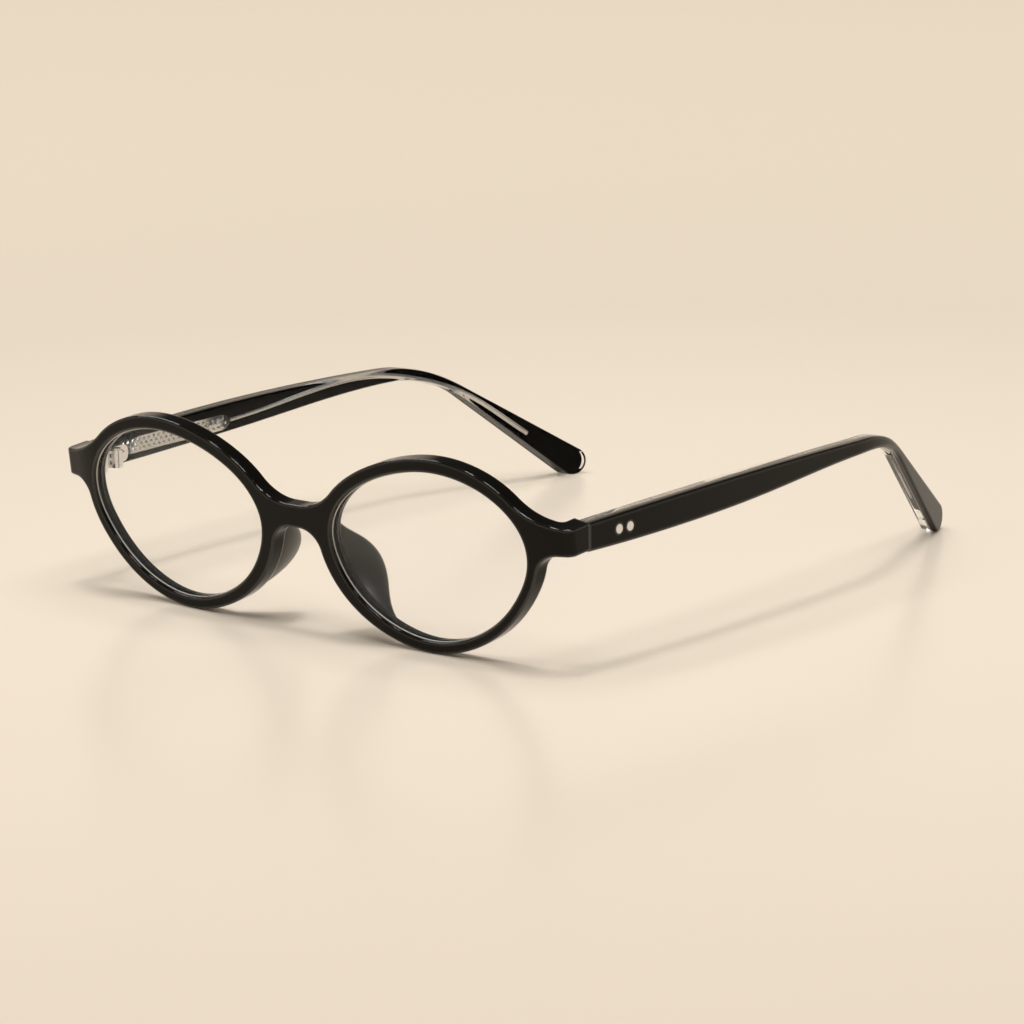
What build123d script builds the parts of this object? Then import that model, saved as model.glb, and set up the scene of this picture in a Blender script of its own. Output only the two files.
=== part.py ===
from build123d import *
import os
from math import asin, cos, degrees, radians, sin, tan

# Oval eyeglasses with laminated temples, standing open on the rims and the temple tips.
# Millimetres. The front faces -Y, the temples run towards +Y and Z is up from the surface.
# Every piece is drawn on the +X side and mirrored. The drawing's origin is under the bridge,
# at the front face, and the last step moves the origin to the middle of the footprint.

# Lens opening, an egg-shaped oval measured on the front face
opening_width = 47.3
opening_height = 34.4
temporal_share = 0.47
upper_share = 0.427
oval_power = 1.88
oval_slant_share = 0.1
oval_steps = 16
opening_gap = 18.4

# Front
rim_bottom_width = 2.3
rim_top_width = 2.75
rim_nasal_width = 3.3
rim_temporal_width = 2.3
front_thickness = 3.5
front_bow_radius = 700.0
front_lean_angle = 6.8
wall_rise_angle = 5.0
front_edge_radius = 0.35
bridge_height = 4.75
bridge_top_height = 26.1
bridge_top_radius = 12.0
bridge_arch_radius = 5.3

# Endpieces, which turn back from the front to the temples
endpiece_reach = 9.5
endpiece_bottom_height = 22.9
endpiece_height = 5.4
endpiece_top_radius = 20.0
endpiece_bottom_radius = 4.5
endpiece_thickness = 3.9
shoulder_length = 11.0
shoulder_radius = 30.0
shoulder_turn_angle = 12.0
corner_radius = 2.0
inner_corner_radius = 1.5
seam_depth = 7.1
seam_gap = 0.12

# Lenses and their groove
lens_thickness = 1.8
lens_rib_thickness = 0.9
groove_depth = 0.8
lens_clearance = 0.05

# Nose pads, fins that stand back from the nasal side of the rims
pad_bottom_height = 4.0
pad_top_height = 22.6
pad_depth = 8.5
pad_splay = 1.8
pad_half_width = 1.75
pad_sink = 1.0
pad_height_shares = [0.0, 0.11, 0.28, 0.48, 0.66, 0.81, 0.91, 1.0]
pad_depth_shares = [0.15, 0.36, 0.73, 0.98, 0.93, 0.63, 0.32, 0.1]

# Temples, from the seam to the ear and down to the tip
temple_thickness = 3.9
black_layer = 1.7
temple_body_length = 88.9
temple_root_rise = 0.25
temple_root_height = 5.5
temple_crown_height = 30.0
crown_share = 0.48
ear_top_height = 29.4
ear_height = 2.8
belly_length_shares = [0.31, 0.59, 0.82]
belly_rise_shares = [0.14, 0.47, 0.86]
ear_run = 10.3
drop_angle = 36.2
drop_taper_angle = 3.6
tip_radius = 3.0
temple_edge_radius = 0.5
temple_splay_angle = 4.0
temple_bow_radius = 625.0
temple_bow_length = 84.9
ear_bow_radius = 60.0
ear_turn_angle = 15.8

# Core wires inside the clear layer
core_thickness = 1.2
core_start = 6.9
core_head_length = 32.5
core_head_height = 3.2
core_wire_width = 1.3
core_tip_gap = 12.5
core_clearance = 0.04
core_nose_share = 1.6
core_rise_share = 0.55

# Pins on the outer face of the temples
pin_radius = 0.9
first_pin_distance = 8.2
pin_spacing = 3.05
pin_clearance = 0.02

# Hinges of five knuckles with a screw
hinge_inset = 6.5
hinge_setback = 2.1
knuckle_radius = 1.35
knuckle_height = 0.67
knuckle_gap = 0.04
knuckle_count = 5
hinge_rise = 0.6
leaf_thickness = 1.0
leaf_sink = 0.5
leaf_reach = 8.1
leaf_end_gap = 0.3
leaf_end_radius = 1.3
leaf_neck_width = 1.1
screw_radius = 0.6
screw_clearance = 0.04
screw_head_radius = 1.05
screw_head_height = 0.4
screw_slot_width = 0.25
screw_slot_depth = 0.22

# Length by which cutting shapes run past what they cut
overrun = 3.0

# Edges are rounded where faces meet at more than this angle, away from the joint faces
least_edge_angle = 20.0
joint_margin = 0.01

# Sizes that follow from the ones above
opening_temporal = opening_width * temporal_share
opening_nasal = opening_width - opening_temporal
opening_upper = opening_height * upper_share
opening_lower = opening_height - opening_upper
opening_middle_x = opening_gap / 2 + opening_nasal
opening_middle_z = rim_bottom_width + opening_lower
front_height = opening_height + rim_bottom_width + rim_top_width
side_reach = opening_gap / 2 + opening_width + endpiece_reach
ear_depth = seam_depth + temple_body_length
ear_bottom_height = ear_top_height - ear_height
ear_middle_height = ear_top_height - ear_height / 2
drop_length = (ear_middle_height - tip_radius) / sin(radians(drop_angle))
ear_corner_depth = ear_depth + ear_run
tip_depth = ear_corner_depth + drop_length * cos(radians(drop_angle))
tip_center = Vector(tip_depth, tip_radius)
temple_root_bottom = endpiece_bottom_height + temple_root_rise
hinge_bottom_height = temple_root_bottom + hinge_rise
hinge_height = knuckle_height * knuckle_count + knuckle_gap * (knuckle_count - 1)
hinge_x = side_reach - hinge_inset
hinge_y = seam_depth + hinge_setback
core_head_middle = temple_root_bottom + temple_root_height * core_rise_share


def signed_power(value):
    """Raise a sine or cosine to the oval's power and keep its sign."""
    power = abs(value) ** (2 / oval_power)
    return power if value > 0 else -power


def oval(temporal, nasal, top, bottom):
    """The lens opening's face, grown outwards by a width on each of its four sides."""
    points = []
    for step in range(oval_steps):
        turn = radians(360 * step / oval_steps)
        across = signed_power(cos(turn))
        up = signed_power(sin(turn))
        half_width = opening_temporal + temporal if across > 0 else opening_nasal + nasal
        half_height = opening_upper + top if up > 0 else opening_lower + bottom
        rise = half_height * up
        middle_x = opening_middle_x + oval_slant_share * rise
        points.append((middle_x + half_width * across, opening_middle_z + rise))
    return make_face(Spline(*points, periodic=True))


def even_oval(margin):
    """The lens opening's face, grown outwards evenly."""
    return oval(margin, margin, margin, margin)


def rectangle(left, right, low, high):
    """A rectangle between two pairs of parallel lines."""
    return Pos((left + right) / 2, (low + high) / 2) * Rectangle(right - left, high - low)


def front_outline():
    """Rims, bridge and endpieces seen from the front, without the lens openings."""
    bridge_bottom_height = bridge_top_height - bridge_height
    endpiece_top_height = endpiece_bottom_height + endpiece_height
    half = oval(rim_temporal_width, rim_nasal_width, rim_top_width, rim_bottom_width)
    half += rectangle(0, opening_middle_x, bridge_bottom_height, bridge_top_height)
    half += rectangle(opening_middle_x, side_reach + overrun, endpiece_bottom_height, endpiece_top_height)
    corners = [
        (bridge_top_height, bridge_top_radius, True),
        (bridge_bottom_height, bridge_arch_radius, True),
        (endpiece_top_height, endpiece_top_radius, False),
        (endpiece_bottom_height, endpiece_bottom_radius, False),
    ]
    for height, radius, nasal in corners:
        near = [v for v in half.vertices() if abs(v.Y - height) < joint_margin]
        near = [v for v in near if 0 < v.X < side_reach and (v.X < opening_middle_x) == nasal]
        half = fillet(near, radius)
    return half + mirror(half, Plane.YZ)


def plan_region(front_inset, side_inset, radius):
    """The space behind the bowed front face and between the endpieces' sides, from above."""
    start_angle = degrees(asin((side_reach - shoulder_length) / front_bow_radius))
    reach = side_reach - side_inset
    bow = JernArc((0, front_inset), (1, 0), front_bow_radius - front_inset, start_angle)
    shoulder = JernArc(bow @ 1, bow % 1, shoulder_radius - front_inset, shoulder_turn_angle)
    heading = shoulder % 1
    corner_y = (shoulder @ 1).Y + heading.Y / heading.X * (reach - (shoulder @ 1).X)
    corner = (reach, corner_y)
    back = seam_depth * 3
    outline = bow + shoulder
    outline += Polyline(shoulder @ 1, corner, (reach, back), (0, back), bow @ 0)
    region = make_face(outline)
    sharp = region.vertices().sort_by_distance(corner)[0]
    region = fillet(sharp, radius)
    return region + mirror(region, Plane.YZ)


def sharp_edges(solid):
    """The edges of a solid where its faces meet at a clear angle."""
    owners = {}
    for face in solid.faces():
        for edge in face.edges():
            owners.setdefault(edge, []).append(face)
    sharp = []
    for edge, faces in owners.items():
        normals = [face.normal_at(edge @ 0.5) for face in faces]
        if len(normals) == 2 and normals[0].get_angle(normals[1]) > least_edge_angle:
            sharp.append(edge)
    return sharp


def rounded(solid, radius, joint_depth):
    """Round the sharp edges, but not those of the joint face at one depth or of the middle plane."""
    edges = [edge for edge in sharp_edges(solid) if abs(edge.center().Y - joint_depth) > joint_margin]
    edges = [edge for edge in edges if abs(edge.center().X) > joint_margin]
    return solid.fillet(radius, edges)


def leaned(region):
    """Stand a plan region up as a tall block that leans with the front."""
    stock = extrude(region, amount=front_height + overrun * 3)
    return Rot(front_lean_angle, 0, 0) * Pos(0, 0, -overrun) * stock


def front_prism(outline):
    """Push a front view outline through the whole depth of the front, forward of the seam.

    The walls rise a little towards the back, and the outline keeps its height where
    the rims stand on the surface, just behind their rounded front edge."""
    rise = radians(wall_rise_angle)
    forward = Vector(0, -cos(rise), -sin(rise))
    stand_depth = face_depth(opening_middle_x, 0, front_edge_radius)
    start = Pos(0, seam_depth, (seam_depth - stand_depth) * tan(rise)) * (Plane.XZ * outline)
    return extrude(start, amount=seam_depth * 3, dir=forward)


def leaf_of_front(first_inset, last_inset):
    """The leaned, bowed sheet between two distances behind the front face."""
    front = plan_region(first_inset, 0, corner_radius)
    return leaned(front - plan_region(last_inset, 0, corner_radius))


def front_frame():
    """Rims, bridge and endpieces in one piece, with a groove for each lens."""
    side = even_oval(0)
    openings = side + mirror(side, Plane.YZ)
    outer = plan_region(0, 0, corner_radius)
    inner = plan_region(front_thickness, endpiece_thickness, inner_corner_radius)
    frame = front_prism(front_outline() - openings) & leaned(outer - inner)
    half = split(frame.solid(), Plane.YZ, keep=Keep.TOP).solid()
    half = rounded(half, front_edge_radius, seam_depth)
    groove_middle = front_thickness / 2
    half_groove = lens_rib_thickness / 2 + lens_clearance
    sheet = leaf_of_front(groove_middle - half_groove, groove_middle + half_groove)
    half -= sheet & front_prism(even_oval(groove_depth))
    half -= front_leaf()
    return half + mirror(half, Plane.YZ)


def lens():
    """A bowed clear lens with a rib around its edge that sits in the groove."""
    middle = front_thickness / 2
    body = leaf_of_front(middle - lens_thickness / 2, middle + lens_thickness / 2)
    rib = leaf_of_front(middle - lens_rib_thickness / 2, middle + lens_rib_thickness / 2)
    body &= front_prism(even_oval(-lens_clearance))
    rib &= front_prism(even_oval(groove_depth - lens_clearance))
    return (body + rib).solid()


def face_depth(x, height, inset):
    """How far back the leaned, bowed front lies at a place, or a sheet behind its face."""
    radius = front_bow_radius - inset
    bow = inset + radius - (radius**2 - x**2) ** 0.5
    lean = radians(front_lean_angle)
    return bow / cos(lean) - height * tan(lean)


def rim_middle_x(height):
    """The middle of the rim on its nasal side at a height below the lens's middle."""
    fall = abs(opening_middle_z - height) / (opening_lower + rim_bottom_width / 2)
    across = (1 - fall**oval_power) ** (1 / oval_power)
    nasal = (opening_nasal + rim_nasal_width / 2) * across
    return opening_middle_x - nasal - oval_slant_share * (opening_middle_z - height)


def nose_pad(frame):
    """A rounded fin that stands back from the rim and follows it down."""
    sections = []
    for height_share, depth_share in zip(pad_height_shares, pad_depth_shares):
        height = pad_bottom_height + (pad_top_height - pad_bottom_height) * height_share
        base_x = rim_middle_x(height)
        base_y = face_depth(base_x, height, front_thickness)
        root = Vector(base_x, base_y - pad_sink, height)
        ridge = Vector(base_x + pad_splay * depth_share, base_y + pad_depth * depth_share, height)
        reach = ridge - root
        middle = (root + ridge) * 0.5
        turn = Vector(1, 0, 0).get_signed_angle(reach, Vector(0, 0, 1))
        half_width = pad_half_width * (0.5 + depth_share / 2)
        section = Rot(0, 0, turn) * Ellipse(reach.length / 2, half_width)
        sections.append(Pos(*middle) * section)
    return loft(sections) - frame


def temple_path(inset):
    """The temple's outer face seen from above, or a line at a distance inside it."""
    splay = radians(temple_splay_angle)
    start = (side_reach - inset * cos(splay), seam_depth + inset * sin(splay))
    heading = (sin(splay), cos(splay))
    lead = Line((start[0] - overrun * heading[0], start[1] - overrun * heading[1]), start)
    body_turn = degrees(temple_bow_length / temple_bow_radius)
    body = JernArc(start, heading, temple_bow_radius - inset, body_turn)
    ear = JernArc(body @ 1, body % 1, ear_bow_radius - inset, ear_turn_angle)
    drop = Line(ear @ 1, ear @ 1 + (ear % 1) * temple_body_length)
    return [lead, body, ear, drop]


def temple_layer(outer_inset, inner_inset):
    """A tall curved sheet between two distances inside the temple's outer face."""
    outer = temple_path(outer_inset)
    inner = temple_path(inner_inset)
    edges = outer + inner
    edges.append(Line(outer[0] @ 0, inner[0] @ 0))
    edges.append(Line(outer[-1] @ 1, inner[-1] @ 1))
    return Pos(0, 0, -overrun) * extrude(make_face(edges), amount=front_height + overrun * 2)


def drop_line(side, half_width):
    """Ends of the drop's upper (side 1) or lower (side -1) edge, for a half width at the tip."""
    taper = drop_taper_angle if half_width == tip_radius else 0
    angle = radians(drop_angle - side * taper)
    down = Vector(cos(angle), -sin(angle))
    out = Vector(sin(angle), cos(angle)) * side
    end = tip_center + out * half_width
    length = (drop_length - ear_run) * cos(radians(taper))
    return end - down * length, end, down


def temple_outline():
    """The temple from the side, as a face in the YZ plane."""
    root_depth = seam_depth + seam_gap
    root_top = temple_root_bottom + temple_root_height
    crown_depth = seam_depth + temple_body_length * crown_share
    upper = drop_line(1, tip_radius)
    lower = drop_line(-1, tip_radius)
    rise = ear_bottom_height - temple_root_bottom
    belly = [(root_depth, temple_root_bottom)]
    for length_share, rise_share in zip(belly_length_shares, belly_rise_shares):
        belly.append((seam_depth + temple_body_length * length_share, temple_root_bottom + rise * rise_share))
    belly.append((ear_depth, ear_bottom_height))
    top = ThreePointArc((root_depth, root_top), (crown_depth, temple_crown_height), (ear_depth, ear_top_height))
    bottom = Spline(*belly)
    middle = radians(drop_angle)
    tip_end = tip_center + Vector(cos(middle), -sin(middle)) * tip_radius
    edges = [
        top,
        Spline(top @ 1, upper[0], tangents=[top % 1, upper[2]]),
        Line(upper[0], upper[1]),
        ThreePointArc(upper[1], tip_end, lower[1]),
        Line(lower[1], lower[0]),
        Spline(bottom @ 1, lower[0], tangents=[bottom % 1, lower[2]]),
        bottom,
        Line(bottom @ 0, top @ 0),
    ]
    return make_face(edges)


def side_prism(outline):
    """Push a side view outline across the space that a temple takes."""
    return extrude(Plane.YZ * outline, amount=side_reach * 2)


def temple_blank():
    """Both layers of the temple in one piece with rounded edges."""
    blank = side_prism(temple_outline()) & temple_layer(0, temple_thickness)
    return rounded(blank.solid(), temple_edge_radius, seam_depth + seam_gap)


def core_outline(clearance):
    """The core wire from the side: a pointed head, a neck and a wire that follows the temple down."""
    start = seam_depth + core_start
    end = start + core_head_length
    height = core_head_middle
    half_head = core_head_height / 2 + clearance
    half_wire = core_wire_width / 2 + clearance
    nose = core_head_height * core_nose_share
    head = make_face(
        [
            Line((start - clearance, height - half_head), (start - clearance, height + half_head)),
            Line((start - clearance, height + half_head), (end - nose, height + half_head)),
            Spline((end - nose, height + half_head), (end, height), tangents=[(1, 0), (half_wire, -half_head)]),
            Spline((end - nose, height - half_head), (end, height), tangents=[(1, 0), (half_wire, half_head)]),
            Line((end - nose, height - half_head), (start - clearance, height - half_head)),
        ]
    )
    sides = []
    for side in (1, -1):
        drop_start, drop_end, down = drop_line(side, half_wire)
        drop_end -= down * (core_tip_gap - clearance)
        shift = side * half_wire
        along = Spline(
            (end - nose, height + shift),
            (ear_depth, ear_middle_height + shift),
            drop_start,
            drop_end,
            tangents=[(1, 0), down],
        )
        sides.append(along)
    wire = make_face(sides + [Line(sides[0] @ 0, sides[1] @ 0), Line(sides[0] @ 1, sides[1] @ 1)])
    return head + wire


def core_wire():
    """The metal core, flat against the black layer."""
    sheet = temple_layer(black_layer, black_layer + core_thickness)
    return (side_prism(core_outline(0)) & sheet).solid()


def pin_cylinder(number, radius):
    """A round bar across the temple at one of its pins."""
    depth = seam_depth + first_pin_distance + pin_spacing * number
    return Pos(0, depth, core_head_middle) * extrude(Plane.YZ * Circle(radius), amount=side_reach * 2)


def pin(number):
    """A pin from the outer face through the black layer to the core."""
    return (pin_cylinder(number, pin_radius) & temple_layer(0, black_layer)).solid()


def leaf_outline(clearance):
    """The temple's hinge leaf from the side, with a round rear end."""
    bottom = hinge_bottom_height - clearance
    top = hinge_bottom_height + hinge_height + clearance
    front = seam_depth + seam_gap + leaf_end_gap - clearance
    back = seam_depth + leaf_reach + clearance
    plate = rectangle(front, back, bottom, top)
    rear = [v for v in plate.vertices() if v.X > back - leaf_end_gap]
    return fillet(rear, leaf_end_radius)


def black_temple(blank):
    """The outer layer with a hole for each pin."""
    layer = (blank & temple_layer(-overrun, black_layer)).solid()
    for number in (0, 1):
        layer -= pin_cylinder(number, pin_radius + pin_clearance)
    return layer.solid()


def clear_temple(blank):
    """The inner layer with the channel for the core and the seat for the hinge leaf."""
    layer = (blank & temple_layer(black_layer, temple_thickness + overrun)).solid()
    channel = temple_layer(black_layer - core_clearance, black_layer + core_thickness + core_clearance)
    layer -= side_prism(core_outline(core_clearance)) & channel
    seat = temple_layer(temple_thickness - leaf_sink, temple_thickness + overrun)
    layer -= side_prism(leaf_outline(core_clearance)) & seat
    return layer.solid()


def knuckle_bottom(number):
    """The height at which a knuckle of the hinge starts."""
    return hinge_bottom_height + number * (knuckle_height + knuckle_gap)


def block(left, right, front, back, low, high):
    """A box between three pairs of planes."""
    box = Box(right - left, back - front, high - low)
    return Pos((left + right) / 2, (front + back) / 2, (low + high) / 2) * box


def knuckle(number):
    """One round knuckle without its bore."""
    middle = knuckle_bottom(number) + knuckle_height / 2
    return Pos(hinge_x, hinge_y, middle) * Cylinder(knuckle_radius, knuckle_height)


def screw_bore():
    """The bar that bores every knuckle."""
    bore = Cylinder(screw_radius + screw_clearance, hinge_height * 3)
    return Pos(hinge_x, hinge_y, hinge_bottom_height) * bore


def front_leaf_plate():
    """The part of the front's hinge leaf that is set into the back of the endpiece."""
    back = face_depth(hinge_x, hinge_bottom_height, front_thickness) + leaf_thickness
    front = back - leaf_thickness * 2
    right = side_reach - endpiece_thickness - leaf_end_gap
    left = hinge_x - knuckle_radius - leaf_thickness
    return block(left, right, front, back, hinge_bottom_height, hinge_bottom_height + hinge_height), back


def front_leaf():
    """The front's hinge leaf with its three knuckles."""
    leaf, back = front_leaf_plate()
    right = hinge_x + knuckle_radius
    left = right - leaf_neck_width
    neck_back = hinge_y - knuckle_radius - leaf_end_gap
    leaf += block(left, right, back, neck_back, hinge_bottom_height, hinge_bottom_height + hinge_height)
    for number in range(0, knuckle_count, 2):
        low = knuckle_bottom(number)
        leaf += block(left, right, neck_back, hinge_y, low, low + knuckle_height)
        leaf += knuckle(number)
    return (leaf - screw_bore()).solid()


def temple_leaf():
    """The temple's hinge leaf, set into the clear layer, with its two knuckles."""
    proud = temple_thickness - leaf_sink + leaf_thickness
    leaf = side_prism(leaf_outline(0)) & temple_layer(temple_thickness - leaf_sink, proud)
    right = side_reach - proud + leaf_thickness / 2
    back = hinge_y + knuckle_radius
    for number in range(1, knuckle_count, 2):
        low = knuckle_bottom(number)
        leaf += block(hinge_x, right, back - leaf_neck_width, back, low, low + knuckle_height)
        leaf += knuckle(number)
    return (leaf - screw_bore()).solid()


def hinge_screw():
    """A slotted screw through all the knuckles, with its head on the top one."""
    top = hinge_bottom_height + hinge_height
    screw = block_cylinder(screw_radius, hinge_bottom_height, top)
    screw += block_cylinder(screw_head_radius, top, top + screw_head_height)
    slot = Box(screw_head_radius * 3, screw_slot_width, screw_slot_depth * 2)
    return (screw - Pos(hinge_x, hinge_y, top + screw_head_height) * slot).solid()


def block_cylinder(radius, low, high):
    """An upright round bar on the hinge's axis between two heights."""
    return Pos(hinge_x, hinge_y, (low + high) / 2) * Cylinder(radius, high - low)


def build_pieces():
    """Every piece by name, in the drawing's own frame."""
    frame = front_frame()
    blank = temple_blank()
    left_side = {
        "lens": lens(),
        "nose_pad": nose_pad(frame),
        "front_hinge_leaf": front_leaf(),
        "hinge_screw": hinge_screw(),
        "temple_hinge_leaf": temple_leaf(),
        "temple_outer_layer": black_temple(blank),
        "temple_inner_layer": clear_temple(blank),
        "core_wire": core_wire(),
        "front_pin": pin(0),
        "rear_pin": pin(1),
    }
    pieces = {"front_frame": frame}
    for name, piece in left_side.items():
        pieces[name + "_left"] = piece
        pieces[name + "_right"] = mirror(piece, Plane.YZ)
    return pieces


def stand(pieces):
    """Move the origin to the middle of the footprint, on the surface."""
    bounds = [piece.bounding_box() for piece in pieces.values()]
    front = min(box.min.Y for box in bounds)
    back = max(box.max.Y for box in bounds)
    bottom = min(box.min.Z for box in bounds)
    move = Pos(0, -(front + back) / 2, -bottom)
    return {name: move * piece for name, piece in pieces.items()}


if __name__ == "__main__":
    os.makedirs("parts", exist_ok=True)
    for name, piece in stand(build_pieces()).items():
        piece.label = name
        export_step(piece, f"parts/{name}.step")
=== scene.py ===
from math import cos, radians, sin

import bmesh
import bpy
from mathutils import Matrix, Vector
from mathutils.bvhtree import BVHTree


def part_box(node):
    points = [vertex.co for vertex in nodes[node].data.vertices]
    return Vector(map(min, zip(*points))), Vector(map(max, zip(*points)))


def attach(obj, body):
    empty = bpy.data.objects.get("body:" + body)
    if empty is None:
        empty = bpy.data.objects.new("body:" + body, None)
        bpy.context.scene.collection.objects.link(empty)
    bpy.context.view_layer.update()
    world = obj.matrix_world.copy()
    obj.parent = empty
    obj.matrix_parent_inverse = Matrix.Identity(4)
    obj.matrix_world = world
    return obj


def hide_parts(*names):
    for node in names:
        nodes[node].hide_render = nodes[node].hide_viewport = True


# Oval acetate eyeglasses on a pale, softly polished table. Metres, the front faces -Y,
# and "left" is the wearer's left, which is +X.

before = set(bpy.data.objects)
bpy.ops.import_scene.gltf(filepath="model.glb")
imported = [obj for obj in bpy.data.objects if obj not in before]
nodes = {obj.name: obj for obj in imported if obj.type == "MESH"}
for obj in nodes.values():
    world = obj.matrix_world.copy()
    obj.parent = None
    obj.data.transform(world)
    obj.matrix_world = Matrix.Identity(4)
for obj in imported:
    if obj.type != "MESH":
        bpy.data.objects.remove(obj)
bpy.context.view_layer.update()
sides = {"left": 1, "right": -1}
mm = 0.001
print("stage: packed model loaded,", len(nodes), "nodes")


# the camera stands where the photographer stood, with a long lens

cameraView = {
    "place": (0.620667, -0.738913, 0.228210),
    "right": (0.76561402, 0.64294294, -0.02143706),
    "up": (-0.1253484, 0.1817835, 0.97531664),
    "lens": 169.61,
    "sensor": 36.0,
    "nearest": 0.01,
}


def makeCamera(view):
    data = bpy.data.cameras.new("photoCamera")
    data.lens = view["lens"]
    data.sensor_width = view["sensor"]
    data.clip_start = view["nearest"]
    camera = bpy.data.objects.new("photoCamera", data)
    bpy.context.scene.collection.objects.link(camera)
    right, up = Vector(view["right"]), Vector(view["up"])
    axes = Matrix((right, up, right.cross(up))).transposed().to_4x4()
    camera.matrix_world = Matrix.Translation(view["place"]) @ axes
    bpy.context.scene.camera = camera


makeCamera(cameraView)
print("stage: camera")


# helpers that write node trees


class Wire:
    # one output of a node, so that sums on it read as sums
    def __init__(self, tree, socket):
        self.tree = tree
        self.socket = socket

    def __add__(self, other):
        return self.tree.maths("ADD", self, other)

    def __radd__(self, other):
        return self.tree.maths("ADD", other, self)

    def __sub__(self, other):
        return self.tree.maths("SUBTRACT", self, other)

    def __rsub__(self, other):
        return self.tree.maths("SUBTRACT", other, self)

    def __mul__(self, other):
        return self.tree.maths("MULTIPLY", self, other)

    def __rmul__(self, other):
        return self.tree.maths("MULTIPLY", other, self)


class Tree:
    # a shader or geometry tree; node() adds any node, its settings first and then its sockets
    def __init__(self, nodeTree):
        self.nodeTree = nodeTree

    def node(self, kind, settings=None, sockets=None, output=0):
        made = self.nodeTree.nodes.new(kind)
        for name, value in (settings or {}).items():
            if name == "stops":
                self.setStops(made.color_ramp, value)
            else:
                setattr(made, name, value)
        for key, value in (sockets or {}).items():
            for item in value if isinstance(value, list) else [value]:
                if isinstance(item, Wire):
                    self.nodeTree.links.new(item.socket, made.inputs[key])
                else:
                    made.inputs[key].default_value = item
        return Wire(self, made.outputs[output]) if made.outputs else None

    def setStops(self, ramp, stops):
        while len(ramp.elements) < len(stops):
            ramp.elements.new(1.0)
        for element, (place, colour) in zip(ramp.elements, stops):
            element.position = place
            element.color = (*colour, 1.0)

    def maths(self, operation, first, second):
        return self.node("ShaderNodeMath", {"operation": operation}, {0: first, 1: second})


def newFinish(name):
    material = bpy.data.materials.new(name)
    material.use_nodes = True
    material.node_tree.nodes.clear()
    return material, Tree(material.node_tree)


def endFinish(tree, sockets):
    shader = tree.node("ShaderNodeBsdfPrincipled", sockets=sockets)
    tree.node("ShaderNodeOutputMaterial", sockets={"Surface": shader})


def objectPlace(tree):
    return tree.node("ShaderNodeTexCoord", output="Object")


def noise(tree, scale, detail):
    sockets = {"Vector": objectPlace(tree), "Scale": scale, "Detail": detail}
    return tree.node("ShaderNodeTexNoise", sockets=sockets)


def mixColour(tree, share, first, second):
    settings = {"data_type": "RGBA"}
    sockets = {0: share, 6: (*first, 1.0), 7: (*second, 1.0)}
    return tree.node("ShaderNodeMix", settings, sockets, output=2)


def bump(tree, height, strength, depth, normal=None):
    sockets = {"Height": height, "Strength": strength, "Distance": depth}
    if normal:
        sockets["Normal"] = normal
    return tree.node("ShaderNodeBump", sockets=sockets)


# the finishes: two acetates, their glued joint, the lens with a painted reflection, its edge,
# pale as a ground edge and as a painted highlight, and the metals;
# a noise is given as its scale and detail, and swings about its middle

noiseMiddle = 0.5

blackAcetate = {
    "tints": [(0.0035, 0.003, 0.002), (0.0055, 0.0045, 0.003)],
    "cloud": (60.0, 2.0),
    "haze": (900.0, 4.0),
    "lap": (220.0, 1.0),
    "hazeInLap": 0.15,
    "lapStrength": 0.05,
    "lapDepth": 0.2 * mm,
    "roughnessSpread": 0.03,
    "ior": 1.49,
    "edgeSoftness": 0.7 * mm,
    "edgePolish": 14.0,
    "edgeRoughness": 0.06,
    "edgeIor": 1.8,
    "edgeSamples": 4,
}
blackGrades = {
    "blackAcetate": {"roughness": 0.06, "shine": 0.13},
    "padAcetate": {"roughness": 0.3, "shine": 0.6},
}
clearAcetate = {
    "tints": [(0.985, 0.985, 0.975), (1.0, 1.0, 1.0)],
    "haze": (700.0, 3.0),
    "roughness": 0.01,
    "roughnessSpread": 0.02,
    "ior": 1.49,
    "shine": 0.1,
    "sheen": (0.1, 0.1, 0.1, 1.0),
}
bondedBlack = {
    "tints": [(0.0012, 0.0012, 0.001), (0.002, 0.0018, 0.0015)],
    "cloud": (120.0, 2.0),
    "roughness": 0.6,
    "roughnessSpread": 0.2,
}


def makeBlackAcetate(name):
    grade = blackGrades[name]
    material, tree = newFinish(name)
    cloud = noise(tree, *blackAcetate["cloud"])
    haze = noise(tree, *blackAcetate["haze"])
    lap = noise(tree, *blackAcetate["lap"])
    # the buffing wheel rounds the edges and leaves them brighter than the flats
    sockets = {"Radius": blackAcetate["edgeSoftness"]}
    softened = tree.node("ShaderNodeBevel", {"samples": blackAcetate["edgeSamples"]}, sockets)
    facing = tree.node("ShaderNodeNewGeometry", output="Normal")
    settings = {"operation": "DOT_PRODUCT"}
    bend = tree.node("ShaderNodeVectorMath", settings, {0: softened, 1: facing}, output=1)
    sockets = {
        "Base Color": mixColour(tree, cloud, *blackAcetate["tints"]),
        "Roughness": grade["roughness"] + blackAcetate["roughnessSpread"] * (haze - noiseMiddle),
        "IOR": blackAcetate["ior"],
        "Specular IOR Level": grade["shine"],
        "Coat Weight": tree.node(
            "ShaderNodeMath",
            {"operation": "MULTIPLY", "use_clamp": True},
            {0: 1 - bend, 1: blackAcetate["edgePolish"]},
        ),
        "Coat Roughness": blackAcetate["edgeRoughness"],
        "Coat IOR": blackAcetate["edgeIor"],
        "Normal": bump(
            tree,
            lap + blackAcetate["hazeInLap"] * haze,
            blackAcetate["lapStrength"],
            blackAcetate["lapDepth"],
            softened,
        ),
    }
    endFinish(tree, sockets)
    return material


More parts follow.
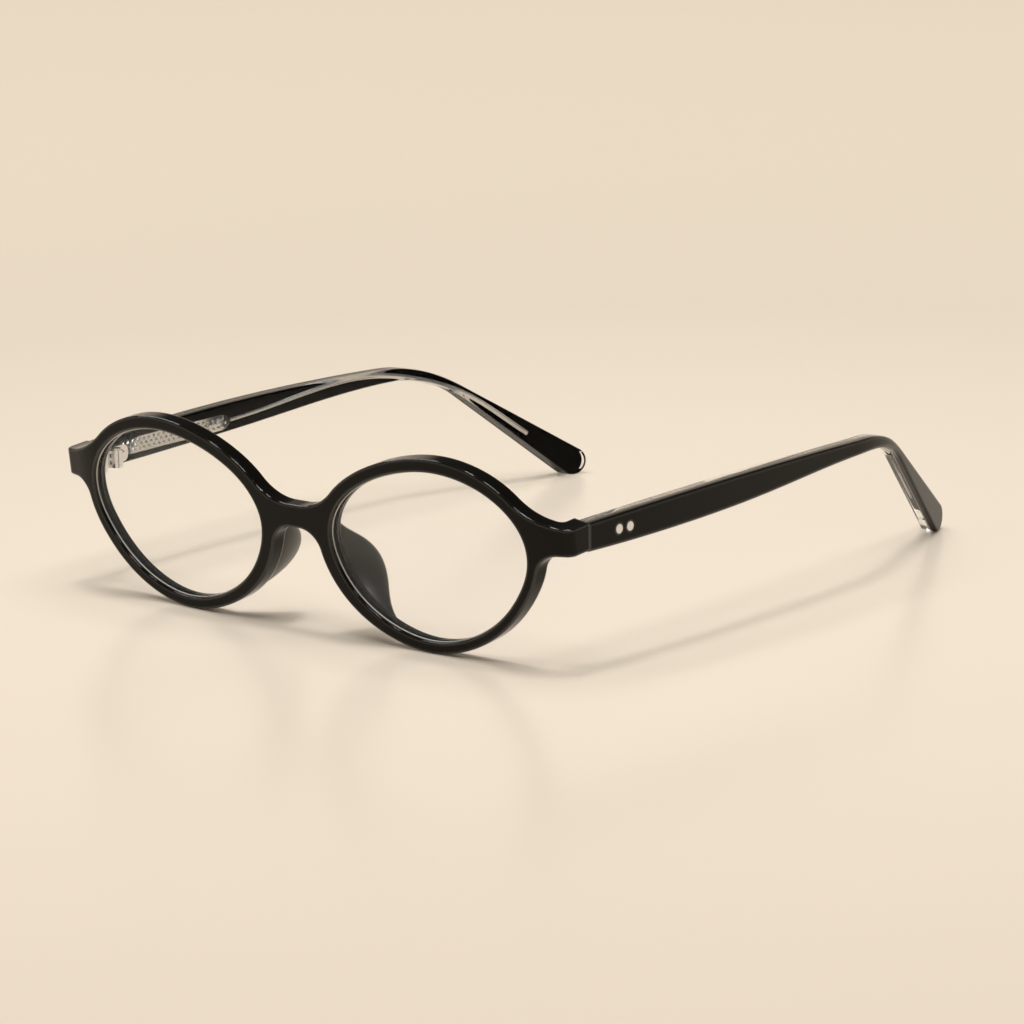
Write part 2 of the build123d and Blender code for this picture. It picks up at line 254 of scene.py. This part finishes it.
def makeClearAcetate(name):
    material, tree = newFinish(name)
    haze = noise(tree, *clearAcetate["haze"])
    sockets = {
        "Base Color": mixColour(tree, haze, *clearAcetate["tints"]),
        "Roughness": clearAcetate["roughness"] + clearAcetate["roughnessSpread"] * haze,
        "IOR": clearAcetate["ior"],
        "Specular IOR Level": clearAcetate["shine"],
        "Specular Tint": clearAcetate["sheen"],
        "Transmission Weight": 1.0,
    }
    endFinish(tree, sockets)
    return material


def makeBondFinish(name):
    # the black layer as it looks through the clear one: no shine of its own
    material, tree = newFinish(name)
    cloud = noise(tree, *bondedBlack["cloud"])
    sockets = {
        "Base Color": mixColour(tree, cloud, *bondedBlack["tints"]),
        "Roughness": bondedBlack["roughness"] + bondedBlack["roughnessSpread"] * cloud,
        "Specular IOR Level": 0.0,
    }
    endFinish(tree, sockets)
    return material


lensFinishAndPaintedReflection = {
    # pale bluish tints, kept faint by the alpha, lay a thin veil that is a painted reflection
    "tints": [(0.80, 0.86, 0.88), (0.88, 0.9, 0.9)],
    "smear": (80.0, 2.0),
    "roughness": 0.03,
    "roughnessSpread": 0.02,
    "ior": 1.5,
    "alpha": 0.02,
    "alphaSpread": 0.02,
}
groundEdgeAndHighlight = {
    # pale greys: the ground edge's own tone, brightened into a painted highlight of the glass
    # edge
    "tints": [(0.62, 0.60, 0.57), (0.40, 0.39, 0.37)],
    "streak": (400.0, 2.0),
    "roughness": 0.35,
    "roughnessSpread": 0.1,
    "streakStrength": 0.2,
    "streakDepth": 0.02 * mm,
}


def makeLensWithPaintedReflection(name):
    material, tree = newFinish(name)
    smear = noise(tree, *lensFinishAndPaintedReflection["smear"])
    # the faint pale veil over what lies behind is a painted reflection; the smear varies it at
    # random
    sockets = {
        "Base Color": mixColour(tree, smear, *lensFinishAndPaintedReflection["tints"]),
        "Roughness": lensFinishAndPaintedReflection["roughness"] + lensFinishAndPaintedReflection["roughnessSpread"] * smear,
        "IOR": lensFinishAndPaintedReflection["ior"],
        "Alpha": lensFinishAndPaintedReflection["alpha"] + lensFinishAndPaintedReflection["alphaSpread"] * smear,
    }
    endFinish(tree, sockets)
    return material


def makeGroundEdgeAndHighlight(name):
    material, tree = newFinish(name)
    streak = noise(tree, *groundEdgeAndHighlight["streak"])
    # the line's paleness is partly the ground edge and partly a painted highlight
    sockets = {
        "Base Color": mixColour(tree, streak, *groundEdgeAndHighlight["tints"]),
        "Roughness": groundEdgeAndHighlight["roughness"] + groundEdgeAndHighlight["roughnessSpread"] * streak,
        "Normal": bump(tree, streak, groundEdgeAndHighlight["streakStrength"], groundEdgeAndHighlight["streakDepth"]),
    }
    endFinish(tree, sockets)
    return material


metals = {
    "coreMetal": {
        "tint": (0.66, 0.65, 0.63), "roughness": 0.24, "grain": 2500.0, "depth": 0.03 * mm,
    },
    "pinMetal": {
        "tint": (0.80, 0.79, 0.78), "roughness": 0.16, "grain": 3500.0, "depth": 0.01 * mm,
    },
    "hingeMetal": {
        "tint": (0.82, 0.81, 0.80), "roughness": 0.22, "grain": 1800.0, "depth": 0.02 * mm,
    },
}
metalWear = {
    "grainDetail": 3.0,
    "grainSpread": 0.06,
    "grainStrength": 0.3,
    "patchSize": 12.0,
    "patchDetail": 2.0,
    "patchDark": 0.86,
    "patchSpread": 0.12,
}


def makeMetal(name):
    look = metals[name]
    material, tree = newFinish(name)
    grain = noise(tree, look["grain"], metalWear["grainDetail"])
    patch = noise(tree, look["grain"] / metalWear["patchSize"], metalWear["patchDetail"])
    dark = tuple(channel * metalWear["patchDark"] for channel in look["tint"])
    sockets = {
        "Base Color": mixColour(tree, patch, look["tint"], dark),
        "Metallic": 1.0,
        "Roughness": (
            look["roughness"]
            + metalWear["patchSpread"] * (patch - noiseMiddle)
            + metalWear["grainSpread"] * (grain - noiseMiddle)
        ),
        "Normal": bump(tree, grain, metalWear["grainStrength"], look["depth"]),
    }
    endFinish(tree, sockets)
    return material


makers = {
    "blackAcetate": makeBlackAcetate,
    "padAcetate": makeBlackAcetate,
    "clearAcetate": makeClearAcetate,
    "bondedBlack": makeBondFinish,
    "clearLens": makeLensWithPaintedReflection,
    "groundLensEdge": makeGroundEdgeAndHighlight,
    "coreMetal": makeMetal,
    "pinMetal": makeMetal,
    "hingeMetal": makeMetal,
}
finishes = {name: make(name) for name, make in makers.items()}

pieceFinish = {
    "front_frame": "blackAcetate",
    "nose_pad": "padAcetate",
    "temple_outer_layer": "blackAcetate",
    "temple_inner_layer": "clearAcetate",
    "lens": "clearLens",
    "core_wire": "coreMetal",
    "front_pin": "pinMetal",
    "rear_pin": "pinMetal",
    "front_hinge_leaf": "hingeMetal",
    "temple_hinge_leaf": "hingeMetal",
    "hinge_screw": "pinMetal",
}

for name, node in nodes.items():
    kind = name.removesuffix("_left").removesuffix("_right")
    for place in node.material_slots:
        place.material = finishes[pieceFinish[kind]]
print("stage: packed pieces finished")


# helpers that make pieces

mergeReach = 0.0005 * mm


def addPiece(name, mesh, material, body):
    if not mesh.materials:
        mesh.materials.append(material)
    piece = bpy.data.objects.new(name, mesh)
    bpy.context.scene.collection.objects.link(piece)
    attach(piece, body)
    return piece


def mergedMesh(node):
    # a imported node's triangles are loose, so a copy is joined up before it is used
    mesh = bmesh.new()
    mesh.from_mesh(node.data)
    bmesh.ops.remove_doubles(mesh, verts=mesh.verts, dist=mergeReach)
    mesh.normal_update()
    return mesh


def cutAcross(mesh, depth, clear=False):
    # cuts at one Y, which runs from the front to the ears, and gives the new edges and corners
    parts = mesh.verts[:] + mesh.edges[:] + mesh.faces[:]
    plane = {"plane_co": (0, depth, 0), "plane_no": (0, 1, 0), "clear_outer": clear}
    return bmesh.ops.bisect_plane(mesh, geom=parts, **plane)["geom_cut"]


def newGrower(name, inputs):
    # a geometry tree with a path in, named sizes, and a mesh out
    group = bpy.data.node_groups.new(name, "GeometryNodeTree")
    group.interface.new_socket("Path", in_out="INPUT", socket_type="NodeSocketGeometry")
    for label, kind in inputs.items():
        group.interface.new_socket(label, in_out="INPUT", socket_type=kind)
    group.interface.new_socket("Mesh", in_out="OUTPUT", socket_type="NodeSocketGeometry")
    return group, Tree(group)


def given(tree, label):
    return tree.node("NodeGroupInput", output=label)


def endGrower(tree, geometry):
    real = tree.node("GeometryNodeRealizeInstances", sockets={"Geometry": geometry})
    sockets = {"Geometry": real, "Material": given(tree, "Material")}
    coated = tree.node("GeometryNodeSetMaterial", sockets=sockets)
    tree.node("NodeGroupOutput", sockets={0: coated})


def growMesh(name, path, group, values):
    points, edges = path
    mesh = bpy.data.meshes.new(name)
    mesh.from_pydata(points, edges, [])
    host = bpy.data.objects.new(name + "_path", mesh)
    bpy.context.scene.collection.objects.link(host)
    modifier = host.modifiers.new(name, "NODES")
    modifier.node_group = group
    for item in group.interface.items_tree:
        if item.in_out == "INPUT" and item.name in values:
            modifier[item.identifier] = values[item.name]
    shown = host.evaluated_get(bpy.context.evaluated_depsgraph_get())
    grown = bpy.data.meshes.new_from_object(shown)
    bpy.data.objects.remove(host)
    grown.name = name
    return grown


def openPath(points):
    return points, [(i, i + 1) for i in range(len(points) - 1)]


# the temples' line from above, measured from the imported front's rear corner

templeLine = {
    "splay": 4.0,
    "bowRadius": 625 * mm,
    "blackLayer": 1.7 * mm,
    "coreThickness": 1.2 * mm,
}


def templePlace(side, along, inset, height):
    # a point at a length along the temple and at an inset from its outer face
    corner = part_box("front_frame")[1]
    splay = radians(templeLine["splay"])
    radius = templeLine["bowRadius"]
    turn = splay - along / radius
    across = corner[0] - radius * cos(splay) + (radius - inset) * cos(turn)
    back = corner[1] + radius * sin(splay) - (radius - inset) * sin(turn)
    return Vector((sides[side] * across, back, height))


# the clear layers, bonded to the black ones and cast round the cores with no air between

bond = {
    "reach": 0.15 * mm,
    "opposed": -0.7,
    "glueGap": 0.05 * mm,
    "sharpAngle": 25.0,
}


def facesOn(faces, neighbour):
    # the faces that lie against the neighbour's skin and look the other way
    tree = BVHTree.FromBMesh(neighbour)
    touching = []
    for face in faces:
        place, normal = tree.find_nearest(face.calc_center_median(), bond["reach"])[:2]
        if place is not None and face.normal.dot(normal) < bond["opposed"]:
            touching.append(face)
    return touching


def makeBondedLayer(side):
    name = "temple_inner_layer_" + side
    shaped = mergedMesh(nodes[name])
    black = mergedMesh(nodes["temple_outer_layer_" + side])
    wire = mergedMesh(nodes["core_wire_" + side])
    for face in facesOn(shaped.faces, black):
        face.material_index = 1
    # the core's channel goes, because the clear acetate is cast round the wire,
    # and its mouth is closed
    bmesh.ops.delete(shaped, geom=facesOn(shaped.faces, wire), context="FACES")
    stray = [face for face in shaped.faces if all(edge.is_boundary for edge in face.edges)]
    bmesh.ops.delete(shaped, geom=stray, context="FACES")
    mouth = [edge for edge in shaped.edges if edge.is_boundary]
    closed = bmesh.ops.holes_fill(shaped, edges=mouth, sides=0)["faces"]
    for face in bmesh.ops.triangulate(shaped, faces=closed)["faces"]:
        face.normal_update()
        if face.normal.x * sides[side] < 0:
            face.normal_flip()
        face.material_index = 1
    # the glue's thickness keeps the two skins apart
    glued = [face for face in shaped.faces if face.material_index == 1]
    for vertex in {corner for face in glued for corner in face.verts}:
        vertex.co.x -= sides[side] * bond["glueGap"]
    mesh = bpy.data.meshes.new("clear_layer_" + side)
    shaped.to_mesh(mesh)
    for used in (shaped, black, wire):
        used.free()
    mesh.shade_smooth()
    mesh.set_sharp_from_angle(angle=radians(bond["sharpAngle"]))
    clear = finishes["clearAcetate"]
    mesh.materials.append(clear)
    mesh.materials.append(finishes["bondedBlack"])
    layer = addPiece("clear_layer_" + side, mesh, clear, "temple_" + side)
    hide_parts(name)


for side in sides:
    makeBondedLayer(side)
print("stage: clear layers bonded")


# the cores: a flat head with a drawn-down nose, and a round wire that thickens towards the ear

core = {
    "headLength": 32.3 * mm,
    "bodyLength": 27.4 * mm,
    "bodyGrowth": 1.12,
    "noseGrowth": 0.65,
    "noseHeight": 0.65,
    "wireOverlap": 3.0 * mm,
    "endGap": 0.8 * mm,
    "stations": 40,
    "neckRadius": 0.36 * mm,
    "earRadius": 0.58 * mm,
    "growth": 2.4,
    "sides": 12,
}


def headMiddle(side):
    # the pins stand at the middle height of the core's head
    low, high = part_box("front_pin_" + side)
    return (low[2] + high[2]) / 2


def makeCoreHead(side):
    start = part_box("core_wire_" + side)[0][1]
    middle = headMiddle(side)
    head = mergedMesh(nodes["core_wire_" + side])
    cut = cutAcross(head, start + core["headLength"], clear=True)
    openEdges = [part for part in cut if isinstance(part, bmesh.types.BMEdge)]
    bmesh.ops.edgenet_fill(head, edges=openEdges)
    for vertex in head.verts:
        along = vertex.co.y - start
        nose = max(0.0, along - core["bodyLength"])
        share = nose / (core["headLength"] - core["bodyLength"])
        taper = 1 - share * share * (1 - core["noseHeight"])
        vertex.co.y = start + (along - nose) * core["bodyGrowth"] + nose * core["noseGrowth"]
        vertex.co.z = middle + (vertex.co.z - middle) * taper
    mesh = bpy.data.meshes.new("core_head_" + side)
    head.to_mesh(mesh)
    head.free()
    metal = finishes["coreMetal"]
    shaped = addPiece("core_head_" + side, mesh, metal, "temple_" + side)
    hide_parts("core_wire_" + side)


def wireLine(side):
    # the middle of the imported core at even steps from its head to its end
    node = nodes["core_wire_" + side]
    low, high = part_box(node.name)
    start = low[1] + core["headLength"] - core["wireOverlap"]
    end = high[1] - core["endGap"]
    solid = mergedMesh(node)
    points = []
    for station in range(core["stations"] + 1):
        depth = start + (end - start) * station / core["stations"]
        section = solid.copy()
        cut = cutAcross(section, depth)
        corners = [part.co for part in cut if isinstance(part, bmesh.types.BMVert)]
        across = (min(c.x for c in corners) + max(c.x for c in corners)) / 2
        height = (min(c.z for c in corners) + max(c.z for c in corners)) / 2
        points.append(Vector((across, depth, height)))
        section.free()
    solid.free()
    return openPath(points)


def makeWireGrower():
    inputs = {
        "Neck radius": "NodeSocketFloat",
        "Ear radius": "NodeSocketFloat",
        "Growth": "NodeSocketFloat",
        "Sides": "NodeSocketInt",
        "Material": "NodeSocketMaterial",
    }
    group, tree = newGrower("drawnWire", inputs)
    curve = tree.node("GeometryNodeMeshToCurve", sockets={0: given(tree, "Path")})
    along = tree.node("GeometryNodeSplineParameter", output="Factor")
    share = tree.maths("MINIMUM", along * given(tree, "Growth"), 1.0)
    neck = given(tree, "Neck radius")
    radius = neck + (given(tree, "Ear radius") - neck) * share
    sockets = {"Resolution": given(tree, "Sides"), "Radius": 1.0}
    profile = tree.node("GeometryNodeCurvePrimitiveCircle", {"mode": "RADIUS"}, sockets)
    # the wire's radius goes into the scale, because this node takes none from the curve
    sockets = {"Curve": curve, "Profile Curve": profile, "Scale": radius, "Fill Caps": True}
    tube = tree.node("GeometryNodeCurveToMesh", sockets=sockets)
    endGrower(tree, tree.node("GeometryNodeSetShadeSmooth", sockets={"Geometry": tube}))
    return group


def makeCores():
    group = makeWireGrower()
    metal = finishes["coreMetal"]
    values = {
        "Neck radius": core["neckRadius"],
        "Ear radius": core["earRadius"],
        "Growth": core["growth"],
        "Sides": core["sides"],
        "Material": metal,
    }
    for side in sides:
        makeCoreHead(side)
        mesh = growMesh("round_wire_" + side, wireLine(side), group, values)
        wire = addPiece("round_wire_" + side, mesh, metal, "temple_" + side)
        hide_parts("core_wire_" + side)


makeCores()
print("stage: cores")


# raised lozenges rolled into the heads of the cores, three rows with every other row shifted

studs = {
    "pitch": 1.5 * mm,
    "rowGap": 0.92 * mm,
    "halfWidth": 0.56 * mm,
    "height": 0.32 * mm,
    "start": 1.0 * mm,
    "length": 30.6 * mm,
    "sunk": 0.02 * mm,
    "rows": 3,
    "rowShift": 0.5,
    "corners": 4,
    "topShare": 0.25,
    "pathSteps": 12,
}


def makeStudGrower():
    inputs = {
        "Pitch": "NodeSocketFloat",
        "Row gap": "NodeSocketFloat",
        "Half width": "NodeSocketFloat",
        "Height": "NodeSocketFloat",
        "Inward": "NodeSocketFloat",
        "Material": "NodeSocketMaterial",
    }
    group, tree = newGrower("rolledStuds", inputs)
    curve = tree.node("GeometryNodeMeshToCurve", sockets={0: given(tree, "Path")})
    pitch = given(tree, "Pitch")
    spread, scaled = {"mode": "LENGTH"}, {"operation": "SCALE"}
    rows = []
    for row in range(studs["rows"]):
        sockets = {"Curve": curve, "Length": pitch}
        points = tree.node("GeometryNodeCurveToPoints", spread, sockets)
        tangent = Wire(tree, points.socket.node.outputs["Tangent"])
        sockets = {0: tangent, "Scale": pitch * (studs["rowShift"] * (row % 2))}
        shift = tree.node("ShaderNodeVectorMath", scaled, sockets)
        level = row - (studs["rows"] - 1) / 2
        rise = tree.node("ShaderNodeCombineXYZ", sockets={2: given(tree, "Row gap") * level})
        offset = tree.node("ShaderNodeVectorMath", {"operation": "ADD"}, {0: shift, 1: rise})
        crossed = {"operation": "CROSS_PRODUCT"}
        facing = tree.node("ShaderNodeVectorMath", crossed, {0: tangent, 1: (0, 0, 1)})
        sockets = {0: facing, "Scale": given(tree, "Inward")}
        inward = tree.node("ShaderNodeVectorMath", scaled, sockets)
        sockets = {"Geometry": points, "Offset": offset}
        placed = tree.node("GeometryNodeSetPosition", sockets=sockets)
        sockets = {"Vector": inward}
        upright = tree.node("FunctionNodeAlignRotationToVector", {"axis": "Z"}, sockets)
        turned = tree.node(
            "FunctionNodeAlignRotationToVector",
            {"axis": "X", "pivot_axis": "Z"},
            {"Rotation": upright, "Vector": (0, 0, 1)},
        )
        sockets = {
            "Vertices": studs["corners"],
            "Radius Top": given(tree, "Half width") * studs["topShare"],
            "Radius Bottom": given(tree, "Half width"),
            "Depth": given(tree, "Height"),
        }
        stud = tree.node("GeometryNodeMeshCone", sockets=sockets)
        sockets = {"Points": placed, "Instance": stud, "Rotation": turned}
        rows.append(tree.node("GeometryNodeInstanceOnPoints", sockets=sockets))
    endGrower(tree, tree.node("GeometryNodeJoinGeometry", sockets={0: rows}))
    return group


def studPath(side):
    # along the middle of the head, on the core's inner face
    inset = templeLine["blackLayer"] + templeLine["coreThickness"] - studs["sunk"]
    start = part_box("core_wire_" + side)[0][1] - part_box("front_frame")[1][1] + studs["start"]
    steps = studs["pathSteps"]
    lengths = [start + studs["length"] * i / steps for i in range(steps + 1)]
    return openPath([templePlace(side, along, inset, headMiddle(side)) for along in lengths])


def makeStuds():
    group = makeStudGrower()
    metal = finishes["coreMetal"]
    for side in sides:
        values = {
            "Pitch": studs["pitch"],
            "Row gap": studs["rowGap"],
            "Half width": studs["halfWidth"],
            "Height": studs["height"],
            "Inward": float(-sides[side]),
            "Material": metal,
        }
        mesh = growMesh("core_studs_" + side, studPath(side), group, values)
        addPiece("core_studs_" + side, mesh, metal, "temple_" + side)


makeStuds()
print("stage: core studs")


# the ground edge of each lens, a thin pale line round the front of the opening;
# its paleness is partly a painted highlight, the light the glass edge catches

lensEdge = {"radius": 0.13 * mm, "sides": 8, "frontward": -0.9, "bend": 30.0}


def makeEdgeGrower():
    inputs = {
        "Radius": "NodeSocketFloat",
        "Sides": "NodeSocketInt",
        "Material": "NodeSocketMaterial",
    }
    group, tree = newGrower("lensEdgeLine", inputs)
    curve = tree.node("GeometryNodeMeshToCurve", sockets={0: given(tree, "Path")})
    sockets = {"Resolution": given(tree, "Sides"), "Radius": given(tree, "Radius")}
    profile = tree.node("GeometryNodeCurvePrimitiveCircle", {"mode": "RADIUS"}, sockets)
    sockets = {"Curve": curve, "Profile Curve": profile}
    tube = tree.node("GeometryNodeCurveToMesh", sockets=sockets)
    endGrower(tree, tree.node("GeometryNodeSetShadeSmooth", sockets={"Geometry": tube}))
    return group


def frontSkinEdge(node):
    # where the lens's front face ends: points and edges of its outline
    mesh = mergedMesh(node)
    front = [face for face in mesh.faces if face.normal.y < lensEdge["frontward"]]
    bend = radians(lensEdge["bend"])
    skin = {max(front, key=lambda face: face.calc_area())}
    wave = list(skin)
    while wave:
        face = wave.pop()
        for edge in face.edges:
            for other in edge.link_faces:
                if other not in skin and other.normal.angle(face.normal) < bend:
                    skin.add(other)
                    wave.append(other)
    rim = [edge for edge in mesh.edges if sum(face in skin for face in edge.link_faces) == 1]
    order = {}
    for edge in rim:
        for vertex in edge.verts:
            order.setdefault(vertex, len(order))
    points = [vertex.co.copy() for vertex in order]
    edges = [tuple(order[vertex] for vertex in edge.verts) for edge in rim]
    mesh.free()
    return points, edges


def makeLensEdges():
    group = makeEdgeGrower()
    # a thin pale line, partly a painted highlight
    edgeAndHighlight = finishes["groundLensEdge"]
    values = {"Radius": lensEdge["radius"], "Sides": lensEdge["sides"], "Material": edgeAndHighlight}
    for side in sides:
        mesh = growMesh("lens_edge_" + side, frontSkinEdge(nodes["lens_" + side]), group, values)
        addPiece("lens_edge_" + side, mesh, edgeAndHighlight, "front")


makeLensEdges()
print("stage: lens edges")


# round rivet heads on the temples' hinge leaves

rivets = {
    "radius": 0.55 * mm,
    "flatness": 0.45,
    "places": [4.2 * mm, 6.4 * mm],
    "inset": 4.38 * mm,
    "segments": 20,
    "rings": 10,
}


def makeRivetGrower():
    inputs = {
        "Radius": "NodeSocketFloat",
        "Flatness": "NodeSocketFloat",
        "Facing": "NodeSocketVector",
        "Material": "NodeSocketMaterial",
    }
    group, tree = newGrower("rivetHeads", inputs)
    sockets = {
        "Segments": rivets["segments"],
        "Rings": rivets["rings"],
        "Radius": given(tree, "Radius"),
    }
    ball = tree.node("GeometryNodeMeshUVSphere", sockets=sockets)
    head = tree.node("GeometryNodeSetShadeSmooth", sockets={"Geometry": ball})
    sockets = {"Vector": given(tree, "Facing")}
    turned = tree.node("FunctionNodeAlignRotationToVector", {"axis": "Z"}, sockets)
    sockets = {0: 1.0, 1: 1.0, 2: given(tree, "Flatness")}
    scale = tree.node("ShaderNodeCombineXYZ", sockets=sockets)
    sockets = {
        "Points": given(tree, "Path"),
        "Instance": head,
        "Rotation": turned,
        "Scale": scale,
    }
    endGrower(tree, tree.node("GeometryNodeInstanceOnPoints", sockets=sockets))
    return group


def makeRivets():
    group = makeRivetGrower()
    metal = finishes["pinMetal"]
    for side in sides:
        low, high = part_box("temple_hinge_leaf_" + side)
        middle = (low[2] + high[2]) / 2
        points = [templePlace(side, along, rivets["inset"], middle) for along in rivets["places"]]
        values = {
            "Radius": rivets["radius"],
            "Flatness": rivets["flatness"],
            "Facing": (-sides[side], 0.0, 0.0),
            "Material": metal,
        }
        mesh = growMesh("hinge_rivets_" + side, (points, []), group, values)
        addPiece("hinge_rivets_" + side, mesh, metal, "temple_" + side)


makeRivets()
print("stage: hinge rivets")


# a pale table with painted light and shade round the glasses, two lamps that light the scene,
# two that only glint in the glasses, and a warm, low room light

table = {
    "size": 8.0,
    "reach": 1.2,
    # painted light and shade: lighter round the glasses, darker 0.3 m out, lighter again 1 m off
    "stops": [
        (0.0, (0.895, 0.785, 0.650)),
        (0.10, (0.885, 0.770, 0.630)),
        (0.25, (0.800, 0.690, 0.560)),
        (0.45, (0.860, 0.740, 0.580)),
        (0.85, (0.960, 0.820, 0.640)),
    ],
    "cloud": (3.0, 2.0),
    "roughness": 0.24,
    "roughnessSpread": 0.04,
    "ior": 1.45,
    "shine": 0.4,
}
lamps = {
    "key": {"place": (0.0, -0.1, 3.0), "size": (0.5, 0.5), "power": 22.0, "glints": False},
    "fill": {"place": (0.0, -0.3, 2.6), "size": (3.0, 3.0), "power": 72.0, "glints": False},
    "glint": {"place": (0.2, -0.1, 3.0), "size": (1.6, 0.5), "power": 70.0, "glints": True},
    "strip": {"place": (-1.1, 0.0, 2.6), "size": (6.0, 1.0), "power": 170.0, "glints": True},
}
# the room, from the horizon up: pale all round and dark overhead
roomLight = {
    "strength": 1.0,
    "stops": [
        (0.0, (0.74, 0.64, 0.51)),
        (0.26, (0.70, 0.60, 0.48)),
        (0.40, (0.08, 0.08, 0.08)),
        (1.0, (0.06, 0.06, 0.06)),
    ],
}


def makeTable():
    data = bpy.data.meshes.new("table")
    half = table["size"] / 2
    corners = [(-half, -half, 0), (half, -half, 0), (half, half, 0), (-half, half, 0)]
    data.from_pydata(corners, [], [(0, 1, 2, 3)])
    floor = bpy.data.objects.new("table", data)
    bpy.context.scene.collection.objects.link(floor)
    material, tree = newFinish("tableTop")
    cloud = noise(tree, *table["cloud"])
    settings = {"operation": "LENGTH"}
    distance = tree.node("ShaderNodeVectorMath", settings, {0: objectPlace(tree)}, output=1)
    # the table's colour follows distance from the glasses: painted light and shade
    settings = {"stops": table["stops"]}
    glow = tree.node("ShaderNodeValToRGB", settings, {"Fac": distance * (1 / table["reach"])})
    sockets = {
        "Base Color": glow,
        "Roughness": table["roughness"] + table["roughnessSpread"] * (cloud - noiseMiddle),
        "IOR": table["ior"],
        "Specular IOR Level": table["shine"],
    }
    endFinish(tree, sockets)
    data.materials.append(material)
    return floor


def makeLamp(name, lamp):
    data = bpy.data.lights.new(name, "AREA")
    data.shape = "RECTANGLE"
    data.size, data.size_y = lamp["size"]
    data.energy = lamp["power"]
    lampObject = bpy.data.objects.new(name, data)
    bpy.context.scene.collection.objects.link(lampObject)
    lampObject.location = lamp["place"]
    lampObject.visible_diffuse = not lamp["glints"]
    lampObject.visible_glossy = lamp["glints"]
    return lampObject


def keepOff(lampObject, floor):
    # seen in the glasses only, so the polished table never glares from above
    spared = bpy.data.collections.new(lampObject.name + "Spares")
    spared.objects.link(floor)
    spared.collection_objects[0].light_linking.link_state = "EXCLUDE"
    lampObject.light_linking.receiver_collection = spared


def makeRoom():
    world = bpy.data.worlds.new("room")
    world.use_nodes = True
    world.node_tree.nodes.clear()
    tree = Tree(world.node_tree)
    sockets = {0: tree.node("ShaderNodeTexCoord")}
    height = tree.node("ShaderNodeSeparateXYZ", sockets=sockets, output=2)
    sky = tree.node("ShaderNodeValToRGB", {"stops": roomLight["stops"]}, {"Fac": height})
    sockets = {"Color": sky, "Strength": roomLight["strength"]}
    glow = tree.node("ShaderNodeBackground", sockets=sockets)
    tree.node("ShaderNodeOutputWorld", sockets={"Surface": glow})
    bpy.context.scene.world = world


floor = makeTable()
for name, lamp in lamps.items():
    lampObject = makeLamp(name, lamp)
    if lamp["glints"]:
        keepOff(lampObject, floor)
makeRoom()
bpy.context.scene.view_settings.view_transform = "Standard"
print("stage: table and light")
